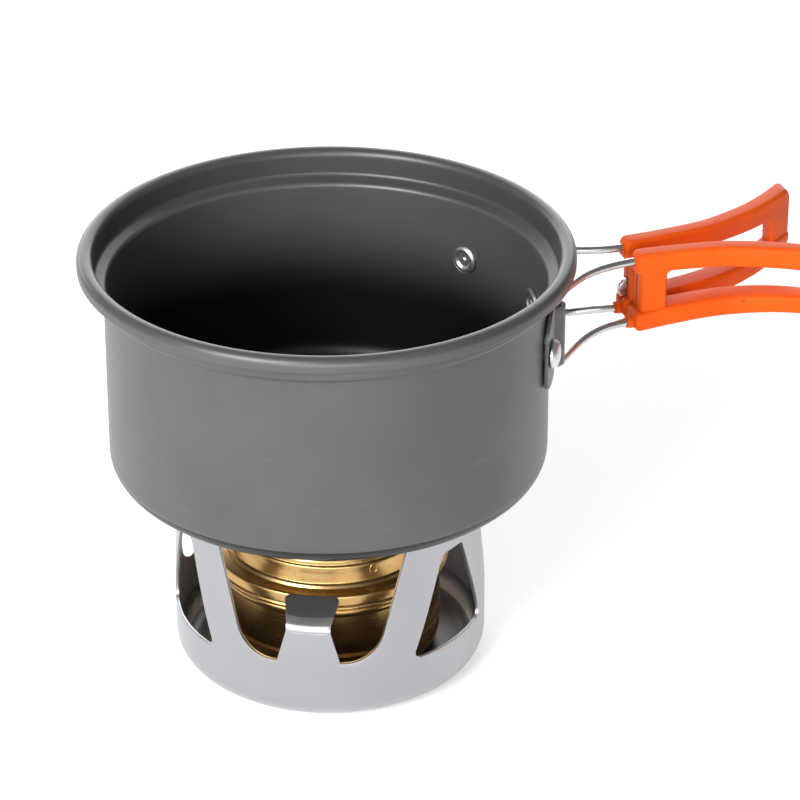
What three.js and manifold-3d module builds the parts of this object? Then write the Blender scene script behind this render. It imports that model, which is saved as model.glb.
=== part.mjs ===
// Spirit stove cooking set: a windshield stand, a brass spirit burner and a pot with folding handles.
// Millimetres, +Z up. The origin is the centre of the stand's underside; the handles reach along +X.
import * as THREE from 'three';
import { mergeVertices } from 'three/addons/utils/BufferGeometryUtils.js';
import Module from 'manifold-3d';

const wasm = await Module();
wasm.setup();

// ---- driving dimensions -------------------------------------------------
const GAP = 0.3; // clearance left between parts that touch in the real set
const SHEET = 1.0; // wall of the stand

// stand
const STAND_H = 63.1;
const STAND_R = 47.3; // outside radius of the lower band
const STAND_R_MID = 46.4;
const STAND_R_TOP = 46.1;
const STAND_CORNER = 7.8;
const STAND_PHASE = 5; // degrees the stand is turned relative to the handles
const BAND_Z = 24; // where the lower band ends and the wall starts to lean in
const MID_Z = 50;
const WINDOW_DEPTH = 30; // radial length of a window cutter
const BIG_WINDOW = { bottom: 20.4, top: 59, halfBottom: 19.9, halfTop: 29.2, cornerLow: 8.4, cornerTop: 3 };
const TAB = { halfRoot: 9.5, halfFold: 6.65, halfEnd: 8.3, foldZ: 31.4, endR: 37.3, endZ: 36.1, corner: 1.8 };
const SMALL_WINDOW = {
  bottom: 17.4, top: 49, halfBottom: 16.9, halfTop: 4.7, cornerLow: 1.8, cornerTop: 1.6,
};

// burner
const BURNER_Z = SHEET + GAP; // underside of the bowl
const BOWL = { radius: 33.5, corner: 7.5, wall: 0.9, beadZ: 11.8, rimZ: 31.8, rimR: 36 };
const COLLAR_TOP = 44.7; // top of the burner above its underside
const JETS = 20;
const JET_RING = 28;
const JET_R = 0.8;
const SLEEVE = { radius: 24.2, wall: 0.8, bottom: 4, top: 43.9 };
const WICK = { inner: 24.6, outer: 32.1, bottom: 1.4, top: 26 };

// pot
const POT_Z = STAND_H + GAP; // underside of the pot
const POT_H = 71.3;
const POT_R = 65.6;
const POT_WALL = 1.1;
const POT_FLOOR = 1.2;
const POT_CORNER = 7.8;
const RIM_R = 73;

// strap, rivets and handles; heights are measured down from the pot's rim
const MID_DROP = 28.3; // rivets and hinge centre
const HINGE_X = 64.4;
const HINGE_Y = 20.1;
const WIRE_R = 1.25;
const STRAP = {
  inner: 65.9, outer: 67.1, bottom: 38.8, ear: 15, dip: 19.4, middle: 17, near: 37.6, far: 39.4,
};
const KNUCKLE = { radius: 2.7, bore: 1.8, top: 19.8, bottom: 37.2 };
const RIVET_ANGLES = { rivet_near: -30, rivet_centre: 0, rivet_far: 32 };
const RIVET = { head: 4.3, shank: 1.9, hole: 2.3 };
const WIRE = { upper: 17, lowerHinge: 40, lowerGrip: 37, rise: 0.12, bend: 2.5, endX: 112 };
const GRIP = { top: 14, startX: 94.6, endX: 158.2, thickness: 6, corner: 1.2, sleeve: 2 };
const TIP = { corner: 4, bottom: 34.6, slabBottom: 31, riseX: 110, levelX: 140 }; // the grip's outer end
// the grip's thicker lower arm
const ARM = { startX: 94.3, height: 6.3, thickness: 8.4, tip: 6.2, taperX: 132 };
const WEB = { startX: 96.2, top: 20.4, bottom: 34.5, inner: 0.8 }; // joins the arms at the inner end
const FINGER = { startX: 104.5, endX: 148.6, top: 20.5, tipTop: 21.1, corner: 1.5 };
const TONGUE = { drop: 30.8, radius: 3.4, thickness: 2, rootX: 100.8, centreX: 97 };
// centre line of a handle seen from above: distance from the pot's axis, distance from the mid plane
const PLAN = [
  [HINGE_X, HINGE_Y], [67.5, 17.3], [70.7, 14.4], [76, 10.2], [81, 7.6], [86.5, 6], [91, 5.3],
  [94.6, 5.1], [102, 5.3], [109, 5.9], [117, 6.8], [124, 8.1], [132, 11], [140, 14.7],
  [147, 19], [GRIP.endX, 27.7], [161.5, 30.2],
];
// centre line of the lower arm: the same two distances and the drop below the rim
const ARM_PLAN = [
  [ARM.startX, 4.75, 36.3], [102, 4.8, 35.5], [109, 5.15, 34.9], [117, 5.75, 34.3], [124, 6.9, 33.75],
  [132, 9.5, 33.2], [140, 13.3, 32.65], [147, 17.9, 32.25], [GRIP.endX, 27.2, 31.65], [161.5, 29.8, 31.45],
];
const WIRE_ENTRY_Y = 5.1; // distance of a handle's wires from the mid plane where the grip starts

// round-part resolution
const FINE = 64;
const MEDIUM = 48;
const COARSE = 16;

// ---- helpers --------------------------------------------------------------
const v2 = (x, y) => new THREE.Vector2(x, y);
const rad = THREE.MathUtils.degToRad;

/** Points of a circular arc, from angle a0 to a1 in degrees. */
function arc(cx, cy, r, a0, a1, steps) {
  const points = [];
  for (let i = 0; i <= steps; i += 1) {
    const a = rad(a0 + ((a1 - a0) * i) / steps);
    points.push(v2(cx + r * Math.cos(a), cy + r * Math.sin(a)));
  }
  return points;
}

/** A three.js geometry as a Manifold solid, always facing out. */
function solid(geometry) {
  const plain = geometry.clone();
  plain.deleteAttribute('normal');
  plain.deleteAttribute('uv');
  const merged = mergeVertices(plain, 1e-4);
  const position = merged.attributes.position;
  const index = merged.index.array;
  const triangles = [];
  let volume = 0;
  const [a, b, c] = [new THREE.Vector3(), new THREE.Vector3(), new THREE.Vector3()];
  for (let i = 0; i < index.length; i += 3) {
    const [p, q, r] = [index[i], index[i + 1], index[i + 2]];
    if (p !== q && q !== r && r !== p) {
      a.fromBufferAttribute(position, p);
      b.fromBufferAttribute(position, q);
      c.fromBufferAttribute(position, r);
      volume += a.dot(b.cross(c));
      triangles.push(p, q, r);
    }
  }
  if (volume < 0) {
    triangles.reverse();
  }
  return new wasm.Manifold(new wasm.Mesh({
    numProp: 3,
    vertProperties: Float32Array.from(position.array),
    triVerts: Uint32Array.from(triangles),
  }));
}

/** A named mesh with its own material from a Manifold solid. */
function mesh(name, body, colour, metalness, roughness) {
  const data = body.getMesh();
  const geometry = new THREE.BufferGeometry();
  geometry.setAttribute('position', new THREE.BufferAttribute(Float32Array.from(data.vertProperties), 3));
  geometry.setIndex(new THREE.BufferAttribute(Uint32Array.from(data.triVerts), 1));
  geometry.computeVertexNormals();
  const material = new THREE.MeshStandardMaterial({ color: colour, metalness, roughness });
  const result = new THREE.Mesh(geometry, material);
  result.name = name;
  return result;
}

/** A body of revolution about Z from [radius, height] points. */
function lathe(points, segments) {
  return solid(new THREE.LatheGeometry(points, segments).rotateX(Math.PI / 2));
}

/** A polygon of [x, y, corner length] entries with every corner eased by a curve. */
function roundedShape(corners, target = new THREE.Shape()) {
  const at = (i) => corners[(i + corners.length) % corners.length];
  const toward = (from, to, length) => {
    const scale = length / Math.hypot(to[0] - from[0], to[1] - from[1]);
    return [from[0] + (to[0] - from[0]) * scale, from[1] + (to[1] - from[1]) * scale];
  };
  corners.forEach((corner, i) => {
    const entry = toward(corner, at(i - 1), corner[2]);
    const exit = toward(corner, at(i + 1), corner[2]);
    if (i === 0) {
      target.moveTo(...entry);
    } else {
      target.lineTo(...entry);
    }
    target.quadraticCurveTo(corner[0], corner[1], ...exit);
  });
  target.closePath();
  return target;
}

/** A shape drawn in the (Y, Z) plane and extruded along +X from x = start. */
function prismX(shape, start, depth, curveSegments) {
  const geometry = new THREE.ExtrudeGeometry(shape, { depth, bevelEnabled: false, curveSegments });
  geometry.rotateX(Math.PI / 2);
  geometry.rotateZ(Math.PI / 2);
  geometry.translate(start, 0, 0);
  return solid(geometry);
}

/** A shape drawn in the (X, Z) plane and extruded along Y, centred on y. */
function prismY(shape, y, depth, curveSegments) {
  const geometry = new THREE.ExtrudeGeometry(shape, { depth, bevelEnabled: false, curveSegments });
  geometry.rotateX(Math.PI / 2);
  geometry.translate(0, y + depth / 2, 0);
  return solid(geometry);
}

/** An upright cylinder standing on z = bottom. */
function post(x, y, bottom, top, radius, segments) {
  const geometry = new THREE.CylinderGeometry(radius, radius, top - bottom, segments);
  geometry.rotateX(Math.PI / 2);
  geometry.translate(x, y, (top + bottom) / 2);
  return solid(geometry);
}

/** A cylinder lying along X from x0 to x1. */
function rod(x0, x1, y, z, radius, segments) {
  const geometry = new THREE.CylinderGeometry(radius, radius, x1 - x0, segments);
  geometry.rotateZ(Math.PI / 2);
  geometry.translate((x0 + x1) / 2, y, z);
  return solid(geometry);
}

/** A flat section swept along a curve. */
function sweep(shape, curve, steps, curveSegments) {
  const options = { steps, extrudePath: curve, curveSegments, bevelEnabled: false };
  return solid(new THREE.ExtrudeGeometry(shape, options));
}

/** A body through a row of rings with equally many points, closed flat at both ends. */
function loft(rings) {
  const count = rings[0].length;
  const last = (rings.length - 1) * count;
  const index = [];
  for (let start = 0; start < last; start += count) {
    for (let j = 0; j < count; j += 1) {
      const [a, b] = [start + j, start + ((j + 1) % count)];
      index.push(a, b, b + count, a, b + count, a + count);
    }
  }
  for (let j = 1; j < count - 1; j += 1) {
    index.push(0, j + 1, j, last, last + j, last + j + 1);
  }
  return solid(new THREE.BufferGeometry().setFromPoints(rings.flat()).setIndex(index));
}

// ---- stand ----------------------------------------------------------------
/** The drawn cup: flat floor, rounded bottom corner, wall leaning in to an eased top edge. */
function standCup() {
  const centre = STAND_R - STAND_CORNER;
  return lathe([
    v2(0, 0),
    ...arc(centre, STAND_CORNER, STAND_CORNER, -90, 0, 6),
    v2(STAND_R, BAND_Z),
    v2(STAND_R_MID, MID_Z),
    v2(STAND_R_TOP, STAND_H - 0.5),
    v2(STAND_R_TOP - SHEET / 2, STAND_H),
    v2(STAND_R_TOP - SHEET, STAND_H - 0.5),
    v2(STAND_R_MID - SHEET, MID_Z),
    v2(STAND_R - SHEET, BAND_Z),
    ...arc(centre, STAND_CORNER, STAND_CORNER - SHEET, 0, -90, 6),
    v2(0, SHEET),
  ], FINE);
}

/** Cutter for a large window; the tab's root is left standing in the middle of its lower edge. */
function bigWindow() {
  const w = BIG_WINDOW;
  const shape = roundedShape([
    [TAB.halfRoot, w.bottom, 0.5],
    [w.halfBottom, w.bottom, w.cornerLow],
    [w.halfTop, w.top, w.cornerTop],
    [-w.halfTop, w.top, w.cornerTop],
    [-w.halfBottom, w.bottom, w.cornerLow],
    [-TAB.halfRoot, w.bottom, 0.5],
    [-TAB.halfFold, TAB.foldZ, 0.1],
    [TAB.halfFold, TAB.foldZ, 0.1],
  ]);
  return prismX(shape, STAND_R - WINDOW_DEPTH, WINDOW_DEPTH + 2, 4);
}

/** Cutter for a small window, wide at the bottom and narrow at the top. */
function smallWindow() {
  const w = SMALL_WINDOW;
  const shape = roundedShape([
    [w.halfBottom, w.bottom, w.cornerLow],
    [w.halfTop, w.top, w.cornerTop],
    [-w.halfTop, w.top, w.cornerTop],
    [-w.halfBottom, w.bottom, w.cornerLow],
  ]);
  return prismX(shape, STAND_R - WINDOW_DEPTH, WINDOW_DEPTH + 2, 3);
}

/** The flap bent in from a tab's fold, which steadies the burner. */
function tabFlap() {
  const run = STAND_R - 0.4 - TAB.endR;
  const rise = TAB.endZ - TAB.foldZ;
  const length = Math.hypot(run, rise);
  const shape = roundedShape([
    [0, -TAB.halfFold, 0.1],
    [length, -TAB.halfEnd, TAB.corner],
    [length, TAB.halfEnd, TAB.corner],
    [0, TAB.halfFold, 0.1],
  ]);
  const geometry = new THREE.ExtrudeGeometry(shape, { depth: SHEET, bevelEnabled: false, curveSegments: 3 });
  geometry.rotateZ(Math.PI);
  geometry.rotateY(Math.atan2(rise, run));
  geometry.translate(STAND_R - 0.4, 0, TAB.foldZ - SHEET);
  return solid(geometry);
}

function stand() {
  let body = standCup();
  for (const turn of [0, 120, 240]) {
    body = body.subtract(bigWindow().rotate([0, 0, turn]));
    body = body.add(tabFlap().rotate([0, 0, turn]));
    body = body.subtract(smallWindow().rotate([0, 0, turn + 60]));
  }
  const group = new THREE.Group();
  group.name = 'stand';
  group.rotation.z = rad(STAND_PHASE);
  group.add(mesh('stand_shell', body, 0xc2c2cc, 0.9, 0.4));
  return group;
}

// ---- burner -----------------------------------------------------------------
/** The fuel bowl with a pressed bead low on its wall and a flared rim. */
function bowl() {
  const { radius, corner, wall, beadZ, rimZ, rimR } = BOWL;
  const centre = radius - corner;
  return lathe([
    v2(0, 0),
    ...arc(centre, corner, corner, -90, 0, 5),
    v2(radius, beadZ - 1),
    v2(radius + 0.4, beadZ),
    v2(radius + 0.4, beadZ + 1),
    v2(radius, beadZ + 2),
    v2(radius, rimZ - 4.4),
    v2(rimR - 0.6, rimZ - 3.2),
    v2(rimR - 0.5, rimZ - 1.9),
    v2(rimR - 1.1, rimZ - 1.5),
    v2(rimR, rimZ - 1),
    v2(rimR, rimZ - 0.3),
    v2(rimR - 0.4, rimZ),
    v2(radius + 0.7, rimZ),
    v2(radius - wall, rimZ - 3.8),
    ...arc(centre, corner, corner - wall, 0, -90, 5),
    v2(0, wall),
  ], MEDIUM);
}

/** The crimped-on ring: hem, shoulder, grooved neck and the top plate with its flame jets. */
function collar() {
  const top = COLLAR_TOP;
  const seam = BOWL.rimZ + GAP;
  let body = lathe([
    v2(34.9, seam),
    v2(36, seam + 0.1),
    v2(36, seam + 2.8),
    v2(35.2, seam + 3.5),
    v2(32.4, seam + 3.7),
    v2(31.8, seam + 4.9),
    v2(31, seam + 5.5),
    v2(30.8, seam + 7.6),
    v2(31, top - 2.4),
    v2(30.4, top - 1.7),
    v2(30.4, top - 0.7),
    v2(30.9, top - 0.3),
    v2(30.4, top),
    v2(27, top),
    v2(25.2, top - 0.4),
    v2(24.6, top - 1.2),
    v2(24.6, top - 3),
    v2(25.5, top - 3),
    v2(25.5, top - 1.4),
    v2(27.3, top - 0.9),
    v2(29.5, top - 0.9),
    v2(29.5, top - 1.9),
    v2(30, top - 2.6),
    v2(29.9, seam + 7.6),
    v2(30.1, seam + 5.1),
    v2(31.2, seam + 3),
    v2(34.9, seam + 2.6),
    v2(34.9, seam),
  ], MEDIUM);
  for (let i = 0; i < JETS; i += 1) {
    const a = (2 * Math.PI * (i + 0.5)) / JETS;
    const jet = post(JET_RING * Math.cos(a), JET_RING * Math.sin(a), top - 2, top + 1, JET_R, 6);
    body = body.subtract(jet);
  }
  return body;
}

/** The inner sleeve that leaves a ring-shaped vapour space around the middle well. */
function sleeve() {
  const { radius, wall, bottom, top } = SLEEVE;
  return lathe([
    v2(radius, bottom),
    v2(radius, top - 0.3),
    v2(radius - wall / 2, top),
    v2(radius - wall, top - 0.3),
    v2(radius - wall, bottom),
    v2(radius, bottom),
  ], MEDIUM);
}

/** The ring of cotton packing that fills the space between the sleeve and the bowl's wall. */
function wick() {
  const { inner, outer, bottom, top } = WICK;
  return lathe([
    v2(inner, bottom),
    v2(outer - 6, bottom),
    v2(outer - 2.2, bottom + 1.9),
    v2(outer, bottom + 6.2),
    v2(outer, top - 1),
    v2(outer - 1, top),
    v2(inner + 0.8, top),
    v2(inner, top - 0.8),
    v2(inner, bottom),
  ], MEDIUM);
}

function burner() {
  const group = new THREE.Group();
  group.name = 'burner';
  group.position.z = BURNER_Z;
  group.add(mesh('burner_bowl', bowl(), 0xc89f58, 1, 0.3));
  group.add(mesh('burner_collar', collar(), 0xcfa660, 1, 0.28));
  group.add(mesh('burner_sleeve', sleeve(), 0xb98f4c, 1, 0.35));
  group.add(mesh('burner_wick', wick(), 0xd9d2c0, 0, 0.95));
  return group;
}

// ---- pot --------------------------------------------------------------------
/** The drawn pot: flat base, rounded corner, stepped collar for a lid and a rolled rim. */
function potShell() {
  const centre = POT_R - POT_CORNER;
  const top = POT_H;
  let body = lathe([
    v2(0, 0),
    ...arc(centre, POT_CORNER, POT_CORNER, -90, 0, 6),
    v2(65.5, top - 11.2),
    v2(66.2, top - 10.2),
    v2(68.4, top - 9.1),
    v2(69.1, top - 8.2),
    v2(69.2, top - 3.2),
    v2(69.8, top - 1.7),
    v2(70.7, top - 1.2),
    v2(71.5, top - 1.7),
    v2(71.9, top - 2.6),
    v2(71.9, top - 4.5),
    v2(RIM_R - 0.1, top - 4.5),
    v2(RIM_R, top - 2.4),
    v2(72.6, top - 1),
    v2(71.8, top - 0.25),
    v2(70.6, top),
    v2(69.4, top - 0.25),
    v2(68.5, top - 1),
    v2(68.2, top - 2.4),
    v2(68, top - 7.9),
    v2(67.5, top - 8.5),
    v2(65.1, top - 9.9),
    v2(POT_R - POT_WALL, top - 11.2),
    ...arc(centre, POT_CORNER, POT_CORNER - POT_WALL, 0, -60, 5),
    v2(centre, POT_FLOOR),
    v2(0, POT_FLOOR),
  ], FINE);
  for (const angle of Object.values(RIVET_ANGLES)) {
    body = body.subtract(rod(60, 72, 0, POT_H - MID_DROP, RIVET.hole, 12).rotate([0, 0, angle]));
  }
  return body;
}

/** Outline of the strap seen along the handle direction, as (Y, Z) corners. */
function strapOutline() {
  const z = (drop) => POT_H - drop;
  const half = (reach) => [
    [9, z(STRAP.middle), 2],
    [13.5, z(STRAP.dip), 2],
    [25, z(STRAP.dip), 2],
    [28.5, z(STRAP.ear), 1.5],
    [reach - 4.6, z(STRAP.ear), 1],
    [reach, z(STRAP.ear + 5.5), 3],
    [reach, z(STRAP.bottom), 2],
  ];
  const near = half(STRAP.near).map(([y, height, corner]) => [-y, height, corner]);
  return roundedShape([...half(STRAP.far), ...near.reverse()]);
}

/** The riveted strap, bulged into a knuckle over each handle's hinge wire. */
function strap() {
  const z = (drop) => POT_H - drop;
  const band = post(0, 0, z(STRAP.bottom + 1), z(STRAP.ear - 1), STRAP.outer, 96);
  let body = band.intersect(prismX(strapOutline(), 40, 40, 2));
  for (const side of [-1, 1]) {
    body = body.add(post(HINGE_X, side * HINGE_Y, z(KNUCKLE.bottom), z(KNUCKLE.top), KNUCKLE.radius, 20));
  }
  body = body.subtract(post(0, 0, z(STRAP.bottom + 2), z(STRAP.ear - 2), STRAP.inner, 96));
  for (const side of [-1, 1]) {
    const [low, high] = [z(STRAP.bottom + 2), z(STRAP.ear - 2)];
    body = body.subtract(post(HINGE_X, side * HINGE_Y, low, high, KNUCKLE.bore, 16));
  }
  for (const angle of Object.values(RIVET_ANGLES)) {
    body = body.subtract(rod(60, 72, 0, z(MID_DROP), RIVET.hole, 12).rotate([0, 0, angle]));
  }
  return body;
}

/** A rivet along +X: dished ring head inside the pot, shank, domed head outside the strap. */
function rivet() {
  const inside = POT_R - POT_WALL - 0.44;
  const outside = STRAP.outer + 0.35;
  const profile = [
    v2(0, inside - 0.7),
    v2(0.6, inside - 0.65),
    v2(0.9, inside - 0.35),
    v2(2.3, inside - 0.3),
    v2(2.9, inside - 0.7),
    v2(3.5, inside - 0.9),
    v2(4.1, inside - 0.6),
    v2(RIVET.head, inside),
    v2(RIVET.shank, inside),
    v2(RIVET.shank, outside),
    v2(RIVET.head, outside),
    v2(RIVET.head, outside + 0.5),
    v2(3.6, outside + 1.4),
    v2(1.9, outside + 2.1),
    v2(0, outside + 2.3),
  ];
  return solid(new THREE.LatheGeometry(profile, COARSE).rotateZ(-Math.PI / 2));
}

// ---- handles ------------------------------------------------------------------
/** Centre line of a handle in plan, as a curve at height 0; side is -1 near, 1 far. */
function planCurve(side, keep) {
  const points = PLAN.filter(keep).map(([x, y]) => new THREE.Vector3(x, side * y, 0));
  return new THREE.CatmullRomCurve3(points, false, 'centripetal');
}

/** The bent wire's centre line: along the upper arm, down through the knuckle, back along the lower arm. */
function wireCurve(side, endX) {
  const z = (drop) => POT_H - drop;
  const plan = planCurve(side, ([x]) => x <= 124).getSpacedPoints(60).filter((p) => p.x <= endX);
  const pastBend = (p) => Math.hypot(p.x - HINGE_X, p.y - side * HINGE_Y) >= WIRE.bend;
  const arm = plan.filter((p, i) => i % 2 === 0 && pastBend(p));
  const heading = new THREE.Vector3().subVectors(arm[0], plan[0]).normalize();
  const corner = (drop, sign) => [30, 60].map((a) => plan[0].clone()
    .addScaledVector(heading, WIRE.bend * (1 - Math.sin(rad(a))))
    .setZ(z(drop) + sign * WIRE.bend * (1 - Math.cos(rad(a)))));
  const settle = (p) => THREE.MathUtils.smoothstep(p.x, HINGE_X, 88);
  const rise = (p) => WIRE.rise * Math.max(0, p.x - GRIP.startX);
  const lowerDrop = (p) => WIRE.lowerHinge + (WIRE.lowerGrip - WIRE.lowerHinge) * settle(p) - rise(p);
  const upper = arm.map((p) => p.clone().setZ(z(WIRE.upper))).reverse();
  const lower = arm.map((p) => p.clone().setZ(z(lowerDrop(p))));
  const top = plan[0].clone().setZ(z(WIRE.upper + WIRE.bend));
  const middle = plan[0].clone().setZ(z(MID_DROP));
  const bottom = plan[0].clone().setZ(z(WIRE.lowerHinge - WIRE.bend));
  return new THREE.CatmullRomCurve3([
    ...upper, ...corner(WIRE.upper, -1), top, middle, bottom,
    ...corner(WIRE.lowerHinge, 1).reverse(), ...lower,
  ], false, 'centripetal');
}

function handleWire(side) {
  const section = new THREE.Shape().absarc(0, 0, WIRE_R, 0, 2 * Math.PI);
  return sweep(section, wireCurve(side, WIRE.endX), 84, 4);
}

/** Side outline of the upper arm, the web at its inner end and the tip, as (X, Z) corners. */
function hookOutline() {
  const z = (drop) => POT_H - drop;
  return roundedShape([
    [GRIP.startX, z(GRIP.top), 1.5],
    [GRIP.startX, z(WEB.top), 0.4],
    [WEB.startX, z(WEB.top), 0.4],
    [WEB.startX, z(WEB.bottom), 0.1],
    [FINGER.startX, z(WEB.bottom), 0.1],
    [FINGER.startX, z(FINGER.top), FINGER.corner],
    [FINGER.endX, z(FINGER.tipTop), FINGER.corner],
    [FINGER.endX, z(TIP.slabBottom), 0.1],
    [GRIP.endX + 1, z(TIP.slabBottom), 0.1],
    [GRIP.endX + 1, z(GRIP.top), 0.1],
  ]);
}

/** Side outline of the space a grip may fill, which eases the tip's two corners. */
function tipOutline() {
  const z = (drop) => POT_H - drop;
  const below = z(WIRE.lowerGrip + 4);
  return roundedShape([
    [GRIP.startX - 10, z(GRIP.top - 1), 1],
    [GRIP.startX - 10, below, 1],
    [TIP.riseX, below, 1],
    [GRIP.endX, z(TIP.bottom), TIP.corner],
    [GRIP.endX, z(GRIP.top), TIP.corner],
    [TIP.levelX, z(GRIP.top - 1), 1],
  ]);
}

/** The thicker lower arm: an eased oblong section carried along its own rising centre line. */
function lowerArm(side) {
  const points = ARM_PLAN.map(([x, y, drop]) => new THREE.Vector3(x, side * y, POT_H - drop));
  const curve = new THREE.CatmullRomCurve3(points, false, 'centripetal');
  const corners = [[-1, -1], [1, -1], [1, 1], [-1, 1]];
  const stations = Array.from({ length: 25 }, (_, i) => i / 24);
  return loft(stations.map((t) => {
    const centre = curve.getPointAt(t);
    const heading = curve.getTangentAt(t).setZ(0).normalize();
    const taper = THREE.MathUtils.smoothstep(centre.x, ARM.taperX, GRIP.endX);
    const halfT = THREE.MathUtils.lerp(ARM.thickness, ARM.tip, taper) / 2;
    const section = roundedShape(corners.map(([x, y]) => [x * halfT, (y * ARM.height) / 2, GRIP.corner]));
    return section.getPoints(3).slice(0, -1).map(({ x, y }) => new THREE.Vector3(
      centre.x - heading.y * x,
      centre.y + heading.x * x,
      centre.z + y,
    ));
  }));
}

/** The web's thicker part, which reaches in toward the other grip. */
function web(side) {
  const width = WIRE_ENTRY_Y - WEB.inner;
  const [top, bottom] = [WEB.top + 0.2, WEB.bottom - 0.5];
  const middleX = (FINGER.startX + WEB.startX) / 2;
  const geometry = new THREE.BoxGeometry(FINGER.startX - WEB.startX, width, bottom - top);
  geometry.translate(middleX, side * (WEB.inner + width / 2), POT_H - (top + bottom) / 2);
  return solid(geometry);
}

/** A moulded grip: a slab and a thicker lower arm round the finger opening, hollow for the wire's ends. */
function grip(side) {
  const z = (drop) => POT_H - drop;
  const halfT = GRIP.thickness / 2;
  const section = roundedShape([
    [-12, -halfT, GRIP.corner],
    [12, -halfT, GRIP.corner],
    [12, halfT, GRIP.corner],
    [-12, halfT, GRIP.corner],
  ]);
  const path = planCurve(side, ([x]) => x >= 91);
  path.points.forEach((p) => p.setZ(z(GRIP.top + 12)));
  let body = sweep(section, path, 24, 2).intersect(prismY(hookOutline(), side * 15, 60, 2));
  body = body.add(web(side)).add(lowerArm(side));
  body = body.intersect(prismY(tipOutline(), side * 15, 60, 5));
  const [x0, x1] = [GRIP.startX - 2, GRIP.startX + 1];
  const entry = rod(x0, x1, side * WIRE_ENTRY_Y, z(WIRE.lowerGrip), GRIP.sleeve, 16);
  const bore = new THREE.Shape().absarc(0, 0, WIRE_R + GAP, 0, 2 * Math.PI);
  body = body.add(entry).subtract(sweep(bore, wireCurve(side, WIRE.endX + 2.5), 84, 4));
  return side > 0 ? body.subtract(tongueSeat()) : body;
}

/** The slot in the far grip's inner end that holds the tongue. */
function tongueSeat() {
  const [x0, x1] = [ARM.startX - 1, TONGUE.rootX + GAP];
  const size = [x1 - x0, TONGUE.thickness + 2 * GAP, 2 * (TONGUE.radius + GAP)];
  const geometry = new THREE.BoxGeometry(...size);
  geometry.translate((x1 + x0) / 2, WIRE_ENTRY_Y, POT_H - TONGUE.drop);
  return solid(geometry);
}

/** The half-round steel tongue set in the far grip's inner end. */
function latchTongue() {
  const zc = POT_H - TONGUE.drop;
  const shape = new THREE.Shape();
  shape.moveTo(TONGUE.rootX, zc - TONGUE.radius);
  shape.lineTo(TONGUE.rootX, zc + TONGUE.radius);
  shape.lineTo(TONGUE.centreX, zc + TONGUE.radius);
  shape.absarc(TONGUE.centreX, zc, TONGUE.radius, Math.PI / 2, (3 * Math.PI) / 2, false);
  return prismY(shape, WIRE_ENTRY_Y, TONGUE.thickness, 10);
}

/** One folding handle; its group stands on the hinge axis. */
function handle(side, label) {
  const group = new THREE.Group();
  group.name = `${label}_handle`;
  group.position.set(HINGE_X, side * HINGE_Y, 0);
  const home = [-HINGE_X, -side * HINGE_Y, 0];
  group.add(mesh(`wire_${label}`, handleWire(side).translate(home), 0xc9c9c9, 1, 0.25));
  group.add(mesh(`grip_${label}`, grip(side).translate(home), 0xf0561e, 0, 0.45));
  if (side > 0) {
    group.add(mesh('latch_tongue', latchTongue().translate(home), 0xbdbdbd, 1, 0.3));
  }
  return group;
}

function pot() {
  const group = new THREE.Group();
  group.name = 'pot';
  group.position.z = POT_Z;
  group.add(mesh('pot_shell', potShell(), 0x6b6b6b, 0.6, 0.5));
  group.add(mesh('handle_strap', strap(), 0x5a5c58, 0.6, 0.5));
  for (const [name, angle] of Object.entries(RIVET_ANGLES)) {
    const pin = mesh(name, rivet(), 0xc4c4c4, 1, 0.3);
    pin.position.z = POT_H - MID_DROP;
    pin.rotation.z = rad(angle);
    group.add(pin);
  }
  group.add(handle(-1, 'near'));
  group.add(handle(1, 'far'));
  return group;
}

// ---- assembly -------------------------------------------------------------------
const stove = new THREE.Group();
stove.name = 'spirit_stove_set';
stove.add(stand());
stove.add(burner());
stove.add(pot());

export default stove;
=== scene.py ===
import math

import bmesh
import bpy
from mathutils import Matrix, Vector, noise
from mathutils.geometry import delaunay_2d_cdt


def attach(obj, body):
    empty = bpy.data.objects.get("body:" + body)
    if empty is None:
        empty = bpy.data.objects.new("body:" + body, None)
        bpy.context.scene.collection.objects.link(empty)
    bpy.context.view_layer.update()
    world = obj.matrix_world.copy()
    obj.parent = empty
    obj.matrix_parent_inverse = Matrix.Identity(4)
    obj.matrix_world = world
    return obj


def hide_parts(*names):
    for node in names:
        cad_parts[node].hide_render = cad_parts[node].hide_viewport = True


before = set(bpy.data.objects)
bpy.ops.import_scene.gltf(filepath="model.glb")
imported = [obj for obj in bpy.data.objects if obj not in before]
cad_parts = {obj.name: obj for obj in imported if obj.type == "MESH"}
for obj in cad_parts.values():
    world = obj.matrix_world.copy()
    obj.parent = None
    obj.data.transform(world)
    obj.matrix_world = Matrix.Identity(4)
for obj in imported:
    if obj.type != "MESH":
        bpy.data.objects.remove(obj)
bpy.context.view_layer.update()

# Lengths in the geometry sections are millimetres, as in the CAD source; meshes are scaled to metres when
# they are made. Lengths in the materials, light and camera sections are metres.
MM = 0.001

# ---- stand ----
STAND_H = 63.1
STAND_R = 47.3
STAND_CORNER = 7.8
STAND_PHASE = 5.0
STAND_SEAM = 39.2
STAND_COLUMNS = 180
SHEET = 1.0
TAB_HALF_FOLD = 6.65
TAB_HALF_END = 8.3
TAB_FOLD_Z = 30.8
TAB_END_R = 37.3
TAB_END_Z = 36.1
TAB_BEND = 2.6
TAB_CORNER = 1.8
TAB_COLUMNS = 12
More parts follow.
